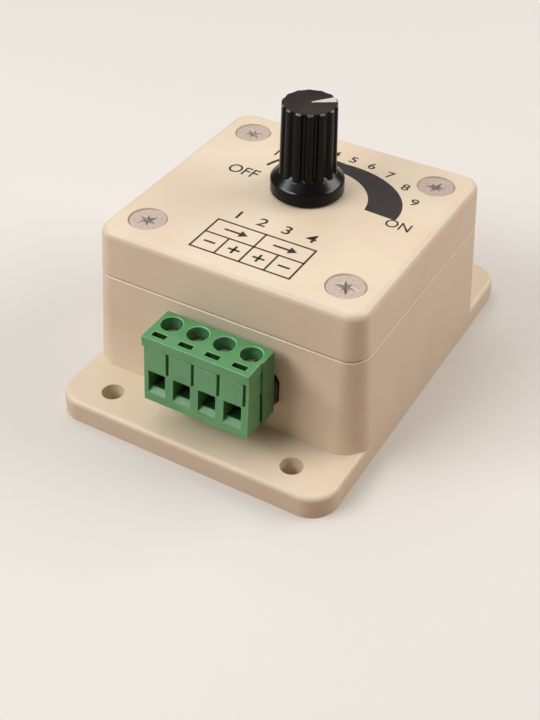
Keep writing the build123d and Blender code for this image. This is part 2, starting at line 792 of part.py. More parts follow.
pieces = {
    "base_housing": base_housing(),
    "top_cover": top_cover(),
    "cover_screws": cover_screws(),
    "circuit_board": circuit_board(),
    "board_screws": board_screws(),
    "header_housing": header_housing(),
    "header_pins": header_pins(),
    "plug_body": plug_body(),
    "plug_front_frame": plug_front_frame(),
    "plug_contacts": plug_contacts(),
    "pot_wafer": pot_wafer(),
    "pot_lugs": pot_lugs(),
    "pot_can": pot_can(),
    "pot_bushing": pot_bushing(),
    "pot_shaft": pot_shaft(),
    "pot_rotor": pot_rotor(),
    "knob": knob(),
    "knob_pointer": knob_pointer(),
    "power_transistors": power_transistors(),
    "transistor_tabs": transistor_tabs(),
    "control_chip": board_part(chip_size, chip_place()),
    "control_chip_legs": control_chip_legs(),
    "voltage_regulator": board_part(regulator_size, (regulator_x, board_half_depth - rear_row_inset)),
    "protection_diode": board_part(diode_size, (diode_x, board_half_depth - rear_row_inset)),
    "filter_capacitor": filter_capacitor(),
    "ceramic_capacitors": ceramic_capacitors(),
    "chip_resistors": chip_resistors(),
}
for i, pole_x in enumerate(pole_xs):
    pieces[f"clamp_cage_{i + 1}"] = clamp_cage(pole_x)
    pieces[f"clamp_screw_{i + 1}"] = clamp_screw(pole_x)

for name, piece in pieces.items():
    export_step(piece, f"parts/{name}.step")
    print(name, len(piece.solids()), "solids", round(piece.volume, 1), "mm3")
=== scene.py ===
# %% [markdown]
# # A rotary lamp dimmer, finished in Blender
# The object is a small wall-mounted dimmer: an ivory box in two halves with mounting ears, a black
# fluted knob, and a green plug with four screw clamps. Its construction is already fixed in another
# program and arrives here as a frame of separate parts at their real size. This lesson gives those
# parts their finish: softened edges, a finely ribbed knob, real screw heads, the printing on the
# cover, and a material for every part, inside the box as well as outside.

# %% Load the frame
import bpy
import math
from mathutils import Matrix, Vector


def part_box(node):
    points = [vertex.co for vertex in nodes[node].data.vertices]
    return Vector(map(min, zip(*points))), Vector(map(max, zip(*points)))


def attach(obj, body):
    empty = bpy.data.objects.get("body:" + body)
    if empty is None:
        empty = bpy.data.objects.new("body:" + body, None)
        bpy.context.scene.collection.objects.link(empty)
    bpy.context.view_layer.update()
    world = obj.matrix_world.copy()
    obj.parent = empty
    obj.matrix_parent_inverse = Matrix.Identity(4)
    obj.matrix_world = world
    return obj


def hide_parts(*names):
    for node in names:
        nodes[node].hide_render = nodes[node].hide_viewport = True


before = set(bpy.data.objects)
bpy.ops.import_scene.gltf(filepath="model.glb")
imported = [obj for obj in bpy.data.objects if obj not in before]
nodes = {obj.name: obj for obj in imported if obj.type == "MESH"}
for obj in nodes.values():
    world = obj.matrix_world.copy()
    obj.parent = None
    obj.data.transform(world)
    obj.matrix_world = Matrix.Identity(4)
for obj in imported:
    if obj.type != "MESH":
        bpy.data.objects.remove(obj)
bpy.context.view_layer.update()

# %% [markdown]
# ## Measures
# Blender works in metres here, and this object is measured in millimetres, so one name, `MM`, stands
# for the step between them. Heights and edges are read from the frame's parts, so that every new
# piece sits on what carries it. Only what the frame doesn't hold is written as a number.

# %% Measures read from the frame
MM = 0.001
cover_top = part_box("top_cover")[1].z
knob_low, knob_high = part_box("knob")
knob_axis = (knob_low + knob_high) / 2
print("cover top", round(cover_top / MM, 2))
print("knob axis", round(knob_axis.x / MM, 2), round(knob_axis.y / MM, 2))

# %% [markdown]
# ## The camera
# A product picture like this one is taken with a long lens, from well above the object. The camera
# looks down at the corner between the terminal side and the right side. Its place and turn were
# worked out from the box's own straight edges, which a long lens keeps nearly parallel. The picture's
# middle is a little lower than the lens axis, which is what `shift_y` does.

# %% Camera at the photograph's view
camera_place = Vector((84.33, -156.97, 143.96)) * MM
camera_turn = (53.2008, -0.6321, 30.0636)
bpy.ops.object.camera_add(location=camera_place, rotation=[math.radians(angle) for angle in camera_turn])
camera = bpy.context.object
camera.name = "photo_camera"
camera.data.lens = 59.95
camera.data.sensor_width = 36
camera.data.shift_y = -0.0833
camera.data.clip_start = 0.01
bpy.context.scene.camera = camera
print("camera looks from", [round(value / MM) for value in camera.location])

# %% [markdown]
# ## Floor and backdrop
# The object stands on a plain pale floor. A pale floor throws much more light up at the walls than a
# dark one, so it is pale only where it is looked at: straight, in a gloss, or through glass. To the
# light that bounces about it is a warm brown. A `Light Path` node tells the rays apart, and the floor
# keeps the object's shadow, because it is still an ordinary surface. The world is a plain dim room,
# so that black plastic stays black.

# %% Colours as they look in a picture
def tone(red, green, blue):
    """A colour given as it looks in a picture, from 0 to 255, as the light values that a shader needs."""
    values = []
    for part in (red, green, blue):
        share = part / 255
        values.append(share / 12.92 if share <= 0.04045 else ((share + 0.055) / 1.055) ** 2.4)
    return (*values, 1.0)


print("ivory in light values", [round(value, 3) for value in tone(232, 214, 187)])

# %% Helpers for node trees
def wire(tree, source, target):
    """Joins an output of one node to an input of another."""
    tree.links.new(source, target)


def blend_tones(tree, factor, first, second):
    """Mixes two colours by a factor, and gives the colour."""
    node = tree.nodes.new("ShaderNodeMix")
    node.data_type = "RGBA"
    node.inputs["A"].default_value = first
    node.inputs["B"].default_value = second
    wire(tree, factor, node.inputs["Factor"])
    return node.outputs["Result"]


print("a factor of 0 gives the first colour, and 1 the second")

# %% Floor
bounce_tone = tone(150, 110, 86)
seen_tone = tone(228, 224, 218)
floor_size = 8
floor_finish = bpy.data.materials.new("studio floor")
floor_finish.use_nodes = True
tree = floor_finish.node_tree
path = tree.nodes.new("ShaderNodeLightPath")
looks = path.outputs["Is Camera Ray"]
for ray in ("Is Glossy Ray", "Is Transmission Ray"):
    either = tree.nodes.new("ShaderNodeMath")
    either.operation = "MAXIMUM"
    wire(tree, looks, either.inputs[0])
    wire(tree, path.outputs[ray], either.inputs[1])
    looks = either.outputs[0]
shader = tree.nodes["Principled BSDF"]
wire(tree, blend_tones(tree, looks, bounce_tone, seen_tone), shader.inputs["Base Color"])
shader.inputs["Roughness"].default_value = 0.9
shader.inputs["Specular IOR Level"].default_value = 0.1

bpy.ops.mesh.primitive_plane_add(size=floor_size, location=(0, 0, 0))
floor = bpy.context.object
floor.name = "studio_floor"
floor.data.materials.append(floor_finish)
print("floor", floor.dimensions[:])

# %% World
world = bpy.data.worlds.new("soft room")
bpy.context.scene.world = world
world.use_nodes = True
background = world.node_tree.nodes["Background"]
background.inputs["Color"].default_value = (0.135, 0.126, 0.118, 1)
background.inputs["Strength"].default_value = 1.0
bpy.context.scene.view_settings.view_transform = "Standard"
print("world strength", background.inputs["Strength"].default_value)

# %% [markdown]
# ## The lamps
# Three soft panels light the object. The one overhead, to the left and behind, makes the top bright
# and draws the pale line along the cover's rounded front edge. Two wide ones stand far out to the
# left and right of the camera. They light the two visible walls alike, leave the corner between
# them darker, and draw two broad pale patches on the knob's black cone. The right one stands a
# little behind the object, so the plug's side lies in the box's shade, and it is a little warmer.
# A panel is placed by its direction as seen from the object.

# %% Lamps
lamp_distance = 700 * MM


def soft_panel(name, azimuth, elevation, size, power, tint=(1, 1, 1)):
    """A soft rectangular lamp in a direction given in degrees, its size in millimetres, turned to the box."""
    turn = math.radians(azimuth)
    rise = math.radians(elevation)
    away = Vector((math.cos(rise) * math.cos(turn), math.cos(rise) * math.sin(turn), math.sin(rise)))
    bpy.ops.object.light_add(type="AREA", location=away * lamp_distance,
                             rotation=away.to_track_quat("Z", "Y").to_euler())
    lamp = bpy.context.object
    lamp.name = name
    lamp.data.shape = "RECTANGLE"
    lamp.data.size = size[0] * MM
    lamp.data.size_y = size[1] * MM
    lamp.data.energy = power
    lamp.data.color = tint


soft_panel("overhead_panel", 150, 71, (760, 760), 2.5)
soft_panel("left_panel", -130, 40, (540, 220), 2.9)
soft_panel("right_panel", 37, 35, (600, 230), 2.66, tint=(1, 0.955, 0.92))
print("3 soft panels")

# %% [markdown]
# ## Finishes
# Moulded plastic is never one flat colour. Its pigment drifts a little over centimetres, its surface
# has a fine grain from the mould, and its gloss changes where fingers have been. One helper builds
# all three from noise textures on Object coordinates, so that the pattern stays at its real scale
# on every piece and doesn't slide when a piece moves. Each finish then has its own short cell.

# %% Noise at a real scale
def noise_pattern(tree, size, detail, stretch):
    """Noise whose patches are about size millimetres across, on the piece's own coordinates."""
    place = tree.nodes.new("ShaderNodeTexCoord")
    mapping = tree.nodes.new("ShaderNodeMapping")
    mapping.inputs["Scale"].default_value = stretch
    noise = tree.nodes.new("ShaderNodeTexNoise")
    noise.inputs["Scale"].default_value = 1 / (size * MM)
    noise.inputs["Detail"].default_value = detail
    wire(tree, place.outputs["Object"], mapping.inputs["Vector"])
    wire(tree, mapping.outputs["Vector"], noise.inputs["Vector"])
    return noise.outputs["Fac"]


noise_low, noise_high = 0.35, 0.65


def spread(tree, value, low, high):
    """Stretches the middle of a noise pattern, where most of it lies, over a range."""
    node = tree.nodes.new("ShaderNodeMapRange")
    node.inputs["From Min"].default_value = noise_low
    node.inputs["From Max"].default_value = noise_high
    node.inputs["To Min"].default_value = low
    node.inputs["To Max"].default_value = high
    wire(tree, value, node.inputs["Value"])
    return node.outputs["Result"]


print("most of a noise pattern lies between", noise_low, "and", noise_high)

# %% A mottled finish
gloss_patch = 0.6
finishes = {}


def mottled(name, light, dark, gloss, patch, grain, depth, stretch=(1, 1, 1)):
    """A finish with drifting colour, uneven gloss and a fine grain.

    gloss is the roughness's range. The patches of colour and the grain have their sizes in
    millimetres, and so has the grain's depth.
    """
    finish = bpy.data.materials.new(name)
    finish.use_nodes = True
    tree = finish.node_tree
    shader = tree.nodes["Principled BSDF"]
    drift = spread(tree, noise_pattern(tree, patch, 3, stretch), 0, 1)
    wire(tree, blend_tones(tree, drift, light, dark), shader.inputs["Base Color"])
    shine = spread(tree, noise_pattern(tree, patch * gloss_patch, 2, stretch), *gloss)
    wire(tree, shine, shader.inputs["Roughness"])
    bump = tree.nodes.new("ShaderNodeBump")
    bump.inputs["Strength"].default_value = 1.0
    bump.inputs["Distance"].default_value = depth * MM
    wire(tree, noise_pattern(tree, grain, 2, stretch), bump.inputs["Height"])
    wire(tree, bump.outputs["Normal"], shader.inputs["Normal"])
    finishes[name] = finish
    return shader


print("gloss drifts in patches", gloss_patch, "times as large as the colour's")

# %% [markdown]
# ### Ivory plastic
# The box is moulded in a warm ivory with a soft gloss. Up close it shows faint pinkish and greenish
# clouds, so the two tones differ in hue more than in lightness.

# %% Ivory plastic
mottled("ivory_plastic", tone(234, 217, 191), tone(231, 211, 185), (0.36, 0.43), patch=12, grain=0.5,
        depth=0.006)
print("ivory", finishes["ivory_plastic"].name)

# %% [markdown]
# ### Green, black and white plastics
# The plug's nylon is satin, with a grain that catches small sparkles. Its edges that face up or
# forwards are painted paler as a highlight, and the walls of its screw holes are polished by the core
# pin of the mould and painted a little darker as shade. Its front face is painted paler as light, the
# sills of its wire mouths and the block behind the front frame are painted darker as shade, and the
# slots and gaps are painted darker still as shade. The knob is black: glossy on its cone, where
# fingers slide, duller on its ribs and skirt, and satin on its top face, which is painted dark grey as
# a sheen. Round the rim it is painted a lighter grey as a highlight. The header behind the plug is a
# plain glossy black.

# %% Green plastic
mottled("green_plastic", tone(88, 151, 95), tone(79, 141, 87), (0.38, 0.46), patch=4, grain=0.22,
        depth=0.008)
# Painted highlight: edges that face up or forwards are given a paler green.
mottled("green_edge_highlight", tone(146, 202, 144), tone(124, 186, 128), (0.34, 0.42), patch=2, grain=0.2,
        depth=0.006)
# Screw-hole walls: polished, and painted a little darker as shade in the holes.
mottled("green_polished_bore_shade", tone(84, 146, 96), tone(60, 120, 74), (0.1, 0.16), patch=1, grain=0.35,
        depth=0.02)
# Painted light: the faces that the plug shows to the front are given a paler green.
mottled("green_front_lit", tone(111, 174, 121), tone(103, 164, 113), (0.4, 0.48), patch=4, grain=0.22,
        depth=0.008)
# Painted shade: the slanting sills of the wire mouths are given a darker green.
mottled("green_sill_shade", tone(78, 150, 82), tone(70, 140, 74), (0.3, 0.38), patch=3, grain=0.25,
        depth=0.005)
# Painted shade: the sides of the block behind the front frame, next to the box's wall.
mottled("green_rear_block_shade", tone(74, 130, 82), tone(66, 120, 74), (0.4, 0.48), patch=4, grain=0.22,
        depth=0.008)
# Painted shade: the walls and floors of the slots and wire mouths, and the side gaps.
mottled("green_recess_shade", tone(38, 74, 42), tone(30, 62, 35), (0.4, 0.5), patch=3, grain=0.3, depth=0.003)
print("green", finishes["green_plastic"].name)

# %% Black and white plastics
side = mottled("knob_plastic", tone(9, 8, 7), tone(6, 5, 5), (0.21, 0.27), patch=6, grain=0.3, depth=0.003)
side.inputs["Specular IOR Level"].default_value = 0.15
slope = mottled("knob_polished_cone", tone(9, 8, 7), tone(6, 5, 5), (0.2, 0.26), patch=6, grain=0.3,
                depth=0.003)
slope.inputs["Specular IOR Level"].default_value = 0.38
# The top face is painted dark grey as a sheen; its satin roughness is its own.
face = mottled("knob_top_painted_sheen", tone(49, 41, 38), tone(44, 37, 34), (0.45, 0.55), patch=3, grain=0.15,
               depth=0.006)
face.inputs["Specular IOR Level"].default_value = 0.25
# Painted highlight: the narrow slope round the top is given a lighter grey.
mottled("knob_rim_highlight", tone(136, 129, 126), tone(84, 78, 75), (0.2, 0.3), patch=0.5, grain=0.15,
        depth=0.006)
mottled("black_plastic", tone(24, 23, 23), tone(18, 17, 17), (0.18, 0.26), patch=5, grain=0.3, depth=0.003)
mottled("white_plastic", tone(222, 212, 205), tone(206, 196, 189), (0.45, 0.6), patch=1.5, grain=0.2,
        depth=0.008)
mottled("chip_plastic", tone(42, 41, 41), tone(33, 32, 32), (0.5, 0.62), patch=1.5, grain=0.08, depth=0.006)
mottled("print_ink", tone(48, 41, 38), tone(56, 48, 45), (0.4, 0.5), patch=2, grain=0.12, depth=0.004)
print(len(finishes), "plastics")

# %% [markdown]
# ### Metals
# Plated screws, tinned contacts and turned brass are the same shader with metallic at 1. What tells
# them apart is colour, roughness, and the direction of the grain: turned parts are stretched along
# their axis far less than around it. The barrel-plated screws are evenly matt under a thin lacquer,
# so their metallic value is lower.

# %% Metals
def metal(name, light, dark, gloss, patch=1.2, grain=0.1, depth=0.006, stretch=(1, 1, 1)):
    """A mottled finish on bare or plated metal."""
    shader = mottled(name, light, dark, gloss, patch, grain, depth, stretch)
    shader.inputs["Metallic"].default_value = 1.0
    return shader


plating = metal("nickel_steel", tone(226, 208, 195), tone(212, 193, 180), (0.45, 0.6), patch=0.5, grain=0.16,
                depth=0.014)
# The star's top edges: painted near-white, partly as rubbed plating and partly as a painted highlight.
brightened = metal("worn_edge_highlight_steel", tone(252, 247, 240), tone(246, 239, 231), (0.3, 0.4))
# The star's slopes: painted darker as shade in the recess.
pressed = metal("star_shade_steel", tone(170, 156, 139), tone(152, 138, 122), (0.5, 0.6))
plating.inputs["Metallic"].default_value = 0.65
brightened.inputs["Metallic"].default_value = 0.5
pressed.inputs["Metallic"].default_value = 0.3
metal("plated_steel", tone(206, 205, 200), tone(184, 184, 180), (0.25, 0.4))
metal("tinned_brass", tone(214, 211, 202), tone(196, 192, 182), (0.2, 0.34))
metal("plain_brass", tone(216, 180, 110), tone(198, 160, 92), (0.2, 0.34), stretch=(1, 1, 4))
metal("shaft_aluminium", tone(222, 222, 224), tone(202, 202, 205), (0.24, 0.38), stretch=(1, 1, 6))
metal("capacitor_aluminium", tone(218, 218, 222), tone(200, 200, 205), (0.22, 0.34), stretch=(5, 5, 1))
print(len(finishes), "finishes with the metals")

# %% [markdown]
# ### Boards and ceramics
# Inside are a green board, a brown pressed-laminate disc and small tan ceramic capacitors. The
# laminate's fibres are a noise that is stretched along one axis.

# %% Boards and ceramics
mottled("board_laminate", tone(42, 104, 62), tone(32, 88, 52), (0.3, 0.42), patch=3, grain=0.4,
        depth=0.012, stretch=(1, 2.5, 1))
mottled("brown_laminate", tone(142, 100, 62), tone(116, 78, 46), (0.55, 0.7), patch=1.4, grain=0.2,
        depth=0.02, stretch=(3, 0.6, 1))
mottled("ceramic_body", tone(180, 150, 116), tone(160, 130, 98), (0.6, 0.75), patch=0.8, grain=0.1,
        depth=0.01)
print(len(finishes), "finishes in all")

# %% [markdown]
# ## Every part of the frame gets its finish
# Each part arrives with material slots that are named by what the part is made of, so one loop
# dresses all of them. The pieces that are remodelled below replace their part and take the same
# finish again.

# %% Dress the frame's parts
for name, node in sorted(nodes.items()):
    for place in node.material_slots:
        slot_name = place.material.name.split(".")[0]
        place.material = finishes[slot_name]
print("dressed", len(nodes), "parts")

# %% [markdown]
# ## Softened shells
# A moulded part has no perfectly sharp edge: each one is rounded by a tenth of a millimetre or more,
# and that rounding is what catches light along the edges of the plug and round the holes. The frame's
# parts are exact but sharp. Remodelling them from nothing would risk their fit, so each visible shell
# is copied instead: the copy's loose triangles are merged, flat areas are dissolved into single
# faces, and a narrow bevel runs along every sharp edge. The frame's own part stays as it is, hidden.

# %% Work on one object at a time
def select_only(piece):
    """Deselects everything, then selects one piece and makes it the active one."""
    bpy.ops.object.select_all(action="DESELECT")
    piece.hide_set(False)
    piece.select_set(True)
    bpy.context.view_layer.objects.active = piece


def apply_modifiers(piece):
    """Applies a piece's modifiers in their order."""
    select_only(piece)
    for modifier in list(piece.modifiers):
        bpy.ops.object.modifier_apply(modifier=modifier.name)


smooth_angle = math.radians(28)


def shade_evenly(piece):
    """Smooths across shallow edges only, and keeps flat faces looking flat beside rounded edges."""
    bpy.ops.object.shade_smooth_by_angle(angle=smooth_angle)
    evened = piece.modifiers.new("even shading", "WEIGHTED_NORMAL")
    evened.keep_sharp = True
    apply_modifiers(piece)


def settle(piece, name, body, slot_name, *replaced):
    """Names a finished piece, lets it ride on its body and stand for the frame's parts."""
    piece.name = name
    piece.data.name = name
    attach(piece, body)
    if replaced:
        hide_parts(*replaced)
    print(name, len(piece.data.polygons), "faces, on", body)


print("edges under", round(math.degrees(smooth_angle)), "degrees are smoothed")

# %% Choose faces by their place
def faces_where(piece, test):
    """Selects a piece's faces by their middle and normal, and leaves it in edit mode."""
    select_only(piece)
    bpy.ops.object.mode_set(mode="EDIT")
    bpy.ops.mesh.select_mode(type="FACE")
    bpy.ops.mesh.select_all(action="DESELECT")
    bpy.ops.object.mode_set(mode="OBJECT")
    for face in piece.data.polygons:
        face.select = bool(test(face.center, face.normal))
    bpy.ops.object.mode_set(mode="EDIT")


def second_finish(piece, name, test):
    """Gives the faces that pass a test a finish of their own."""
    piece.data.materials.append(finishes[name])
    faces_where(piece, test)
    piece.active_material_index = len(piece.data.materials) - 1
    bpy.ops.object.material_slot_assign()
    bpy.ops.object.mode_set(mode="OBJECT")


print("faces can be chosen by middle and normal")

# %% Softened copies
merge_reach = 0.001 * MM
flat_angle = math.radians(0.5)
sharp_angle = math.radians(30)


def softened(node_name, width, body, slot_name, clamped=True):
    """A copy of a frame part with its sharp edges rounded by width millimetres."""
    source = nodes[node_name]
    piece = bpy.data.objects.new(node_name + "_softened", source.data.copy())
    bpy.context.scene.collection.objects.link(piece)
    select_only(piece)
    if piece.data.has_custom_normals:
        bpy.ops.mesh.customdata_custom_splitnormals_clear()
    bpy.ops.object.mode_set(mode="EDIT")
    bpy.ops.mesh.select_all(action="SELECT")
    bpy.ops.mesh.remove_doubles(threshold=merge_reach)
    bpy.ops.mesh.dissolve_limited(angle_limit=flat_angle)
    bpy.ops.object.mode_set(mode="OBJECT")
    bevel = piece.modifiers.new("rounded edges", "BEVEL")
    bevel.width = width * MM
    bevel.segments = 2
    bevel.limit_method = "ANGLE"
    bevel.angle_limit = sharp_angle
    bevel.miter_outer = "MITER_ARC"
    bevel.use_clamp_overlap = clamped
    apply_modifiers(piece)
    shade_evenly(piece)
    settle(piece, node_name + "_softened", body, slot_name, node_name)
    return piece


softened("base_housing", 0.15, "housing", "ivory_plastic")
softened("top_cover", 0.12, "housing", "ivory_plastic")
plug = softened("plug_body", 0.09, "terminal_plug", "green_plastic", clamped=False)
plug_frame = softened("plug_front_frame", 0.09, "terminal_plug", "green_plastic", clamped=False)
softened("header_housing", 0.12, "housing", "black_plastic")

# %% [markdown]
# ## Painted light and shade on the plug
# The plug is one green nylon, but its places are painted unlike each other: edges that face up or
# forwards are painted pale as a highlight, the front is painted paler than the top as light, the round
# holes are polished and painted a little darker as shade, and the rear block's sides, the sills, slots
# and gaps are painted dark as shade. Painting them by hand would slide off when a size changes. So a
# face is chosen by where its middle lies and where its normal points, both measured from the plug's
# own edges.

# %% Measures of the plug
plug_low, plug_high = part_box("plug_body")
frame_low, frame_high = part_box("plug_front_frame")
header_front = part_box("header_housing")[0].y
clamp_places = []
for i in range(1, 5):
    low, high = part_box(f"clamp_screw_{i}")
    clamp_places.append((low + high) / 2)
square_on = 0.97
front_reach = 1.15 * MM
edge_reach = 0.15 * MM
below_edge = 0.3 * MM
print("plug", round((plug_high.y - plug_low.y) / MM, 2), "mm deep, clamps", len(clamp_places))

# %% Faces at the plug's front and on its edges
sill_height = 4 * MM


def at_front(middle, normal):
    """True on the faces that the plug shows to the front."""
    return normal.y < -0.9 and middle.y < plug_low.y + front_reach


def on_sill(middle, normal):
    """True on the slanting sills of the wire mouths."""
    return -0.95 < normal.y < -0.4 and normal.z > 0.4 and middle.z < plug_low.z + sill_height


# The faces that this test finds are painted paler, as a painted highlight.
def slanted(middle, normal):
    """True on narrow rounded edges that face up or forwards, at the plug's front or round its top."""
    outside = middle.y < plug_low.y + front_reach or middle.z > plug_high.z - edge_reach
    forward = normal.y < -0.2 or normal.z > 0.2
    tilted = max(abs(normal.x), abs(normal.y), abs(normal.z)) < square_on
    return tilted and outside and forward and not on_sill(middle, normal)


print("edges within", round(front_reach / MM, 2), "mm of the front are rubbed")

# %% Faces in the plug's holes, slots and gaps
hole_reach = 1.95 * MM
hole_depth = 3.9 * MM
recess_start, recess_end = 1.6 * MM, 4.5 * MM
recess_side = 0.6 * MM
gap_reach, gap_side = 0.35 * MM, 0.45 * MM


def in_screw_hole(middle, normal):
    """True on the round walls over the clamp screws."""
    near = min((middle.xy - place.xy).length for place in clamp_places)
    return near < hole_reach and middle.z > plug_high.z - hole_depth and abs(normal.z) < 0.3


def in_recess(middle, normal):
    """True on the upright walls and the floors of the slots and wire mouths, once past their edges."""
    behind_edges = recess_start < middle.y - plug_low.y < recess_end
    inside_sides = min(middle.x - plug_low.x, plug_high.x - middle.x) > recess_side
    below_top = plug_low.z < middle.z < plug_high.z - below_edge
    square = max(abs(normal.x), abs(normal.y), normal.z) > square_on
    return behind_edges and inside_sides and below_top and square


def in_side_gap(middle, normal):
    """True in the narrow upright gap between the front frame and the rear block, on both sides."""
    near_gap = abs(middle.y - frame_high.y) < gap_reach
    near_side = min(abs(middle.x - frame_low.x), abs(middle.x - frame_high.x)) < gap_side
    below_top = middle.z < plug_high.z - below_edge
    return near_gap and near_side and below_top and abs(normal.x) < square_on and normal.y > -0.5


def on_rear_sides(middle, normal):
    """True on the two sides of the block behind the front frame."""
    return abs(normal.x) > square_on and frame_high.y < middle.y < header_front


print("screw holes are polished", round(hole_depth / MM, 2), "mm down")

# %% Finish the plug
# Painted light and shade on the plug: paler front and edges, darker holes, sills, rear sides, slots and gaps.
plug_places = [("green_front_lit", at_front), ("green_rear_block_shade", on_rear_sides),
               ("green_edge_highlight", slanted), ("green_polished_bore_shade", in_screw_hole),
               ("green_recess_shade", in_recess), ("green_recess_shade", in_side_gap)]
frame_places = [("green_front_lit", at_front), ("green_sill_shade", on_sill),
                ("green_edge_highlight", slanted), ("green_recess_shade", in_recess),
                ("green_recess_shade", in_side_gap)]
for name, test in plug_places:
    second_finish(plug, name, test)
for name, test in frame_places:
    second_finish(plug_frame, name, test)
print("plug finishes", [finish.name for finish in plug.data.materials])

# %% [markdown]
# ## The knob
# The knob is one moulding: a short skirt, a cone and a tapered barrel with fourteen rounded grooves.
# Fourteen cutters and a boolean would leave slivers where the grooves run out on the cone. A turned
# body with plenty of evenly spaced points round it can instead be pressed in by a formula, which
# gives round shoulders and clean run-outs. So one ring of points is extruded up the profile, ring by
# ring, and the points of the barrel are then moved inwards where a groove passes.

# %% The knob's profile
rib_count = 14
points_a_rib = 24
pointer_angle = math.radians(42.5)
skirt_radius = 6.6 * MM
skirt_height = 2.45 * MM
cone_height = 1.4 * MM
barrel_foot = 5.12 * MM
barrel_head = 4.88 * MM
face_radius = 4.68 * MM
face_notch = 0.14 * MM
rim_chamfer = 0.3 * MM
top_sink = 0.03 * MM
soft_edge = 0.12 * MM
foot_edge = 0.2 * MM
cone_bottom = knob_low.z + skirt_height
barrel_bottom = cone_bottom + cone_height
knob_face = knob_high.z - top_sink
rim_bottom = knob_high.z - rim_chamfer - top_sink


def barrel_radius(height):
    """The barrel's radius over its ribs."""
    share = (height - barrel_bottom) / (knob_high.z - rim_chamfer - barrel_bottom)
    return barrel_foot + (barrel_head - barrel_foot) * share


def cone_radius(height):
    """The cone's radius, carried on inwards past the barrel's foot."""
    return skirt_radius - (height - cone_bottom) / cone_height * (skirt_radius - barrel_foot)


print("barrel from", round(barrel_bottom / MM, 2), "to", round(knob_face / MM, 2))

# %% A rounded corner of the profile
corner_steps = 4


def rounded_corner(height, radius, start, end, size):
    """Heights and radii round a corner of the profile. start and end are directions in degrees."""
    corner = []
    for i in range(corner_steps + 1):
        angle = math.radians(start + (end - start) * i / corner_steps)
        corner.append((height + size * math.sin(angle), radius + size * math.cos(angle)))
    return corner


print("a corner has", corner_steps + 1, "rings")

# %% The knob's rings
bore_radius = 3.05 * MM
mouth_radius = 3.6 * MM
mouth_depth = 1.5 * MM
bore_depth = 13.1 * MM
cone_steps = 13
barrel_steps = 12
groove_end = barrel_bottom + 0.6 * MM
cone_start = cone_bottom + soft_edge
chamfer_rise, chamfer_inset = 0.1 * MM, 0.02 * MM
face_edge_drop, face_edge_width = 0.05 * MM, 0.1 * MM
profile = [(knob_low.z + bore_depth, bore_radius), (knob_low.z + mouth_depth, bore_radius),
           (knob_low.z + mouth_depth, mouth_radius), (knob_low.z, mouth_radius)]
profile += rounded_corner(knob_low.z + foot_edge, skirt_radius - foot_edge, -90, 0, foot_edge)
profile += rounded_corner(cone_bottom - soft_edge, skirt_radius - soft_edge, 0, 40, soft_edge)
for i in range(cone_steps + 1):
    height = cone_start + (groove_end - cone_start) * i / cone_steps
    profile.append((height, max(cone_radius(height), barrel_radius(height))))
for i in range(1, barrel_steps + 1):
    height = groove_end + (rim_bottom - groove_end) * i / barrel_steps
    profile.append((height, barrel_radius(height)))
profile += [(rim_bottom + chamfer_rise, barrel_head - chamfer_inset),
            (knob_face - face_edge_drop, face_radius + face_edge_width), (knob_face, face_radius)]
print(len(profile), "rings of", rib_count * points_a_rib, "points")

# %% Extrude the rings
bpy.ops.object.select_all(action="DESELECT")
first_height, first_radius = profile[0]
bpy.ops.mesh.primitive_circle_add(vertices=rib_count * points_a_rib, radius=first_radius, fill_type="NGON",
                                  location=(knob_axis.x, knob_axis.y, first_height),
                                  rotation=(0, 0, pointer_angle))
knob = bpy.context.object
bpy.ops.object.transform_apply(location=True, rotation=True, scale=True)
bpy.ops.object.mode_set(mode="EDIT")
bpy.ops.mesh.select_mode(type="FACE")
bpy.ops.mesh.select_all(action="SELECT")
for (height, radius), (next_height, next_radius) in zip(profile, profile[1:]):
    bpy.ops.mesh.extrude_region_move(TRANSFORM_OT_translate={"value": (0, 0, next_height - height)})
    ratio = next_radius / radius
    bpy.ops.transform.resize(value=(ratio, ratio, 1), center_override=(knob_axis.x, knob_axis.y, next_height))
bpy.ops.mesh.select_all(action="SELECT")
bpy.ops.mesh.normals_make_consistent(inside=False)
bpy.ops.object.mode_set(mode="OBJECT")
print("turned body", len(knob.data.vertices), "points,", [round(side / MM, 2) for side in knob.dimensions])

# %% Press in the grooves
groove_depth = 0.58 * MM
groove_half_width = 0.42 * MM
groove_squareness = 6
groove_start = cone_bottom + 0.5 * MM
bore_clearance = 0.2 * MM
rim_clearance = 0.01 * MM
pitch = 2 * math.pi / rib_count
for point in knob.data.vertices:
    x = point.co.x - knob_axis.x
    y = point.co.y - knob_axis.y
    height = point.co.z
    radius = math.hypot(x, y)
    if height < groove_start or radius < bore_radius + bore_clearance:
        continue
    turn = (math.atan2(y, x) - pointer_angle) % pitch - pitch / 2
    across = abs(turn) * radius
    pressed = radius - groove_depth / (1 + (across / groove_half_width) ** groove_squareness)
    pressed = max(pressed, min(radius, cone_radius(height)))
    if height > rim_bottom + rim_clearance:
        pressed = max(pressed, face_radius - face_notch)
    point.co.x = knob_axis.x + x * pressed / radius
    point.co.y = knob_axis.y + y * pressed / radius
print("grooves pressed", round(groove_depth / MM, 2), "mm deep")

# %% Faces of the knob's cone, top and rim
cone_run = 1 * MM


def from_axis(point):
    """A point's distance from the knob's axis."""
    return (point.xy - knob_axis.xy).length


def on_cone(middle, normal):
    """True on the slope between the skirt and the barrel, and where the grooves run out on it."""
    return 0.2 < normal.z < 0.98 and cone_bottom < middle.z < barrel_bottom + cone_run


def on_face(middle, normal):
    """True on the knob's flat top."""
    return normal.z > 0.99 and middle.z > rim_bottom


def on_rim(middle, normal):
    """True on the narrow slope round the top."""
    return 0.2 < normal.z < 0.99 and middle.z > rim_bottom and from_axis(middle) > face_radius


print("the cone ends", round((barrel_bottom + cone_run - knob_low.z) / MM, 2), "mm up")

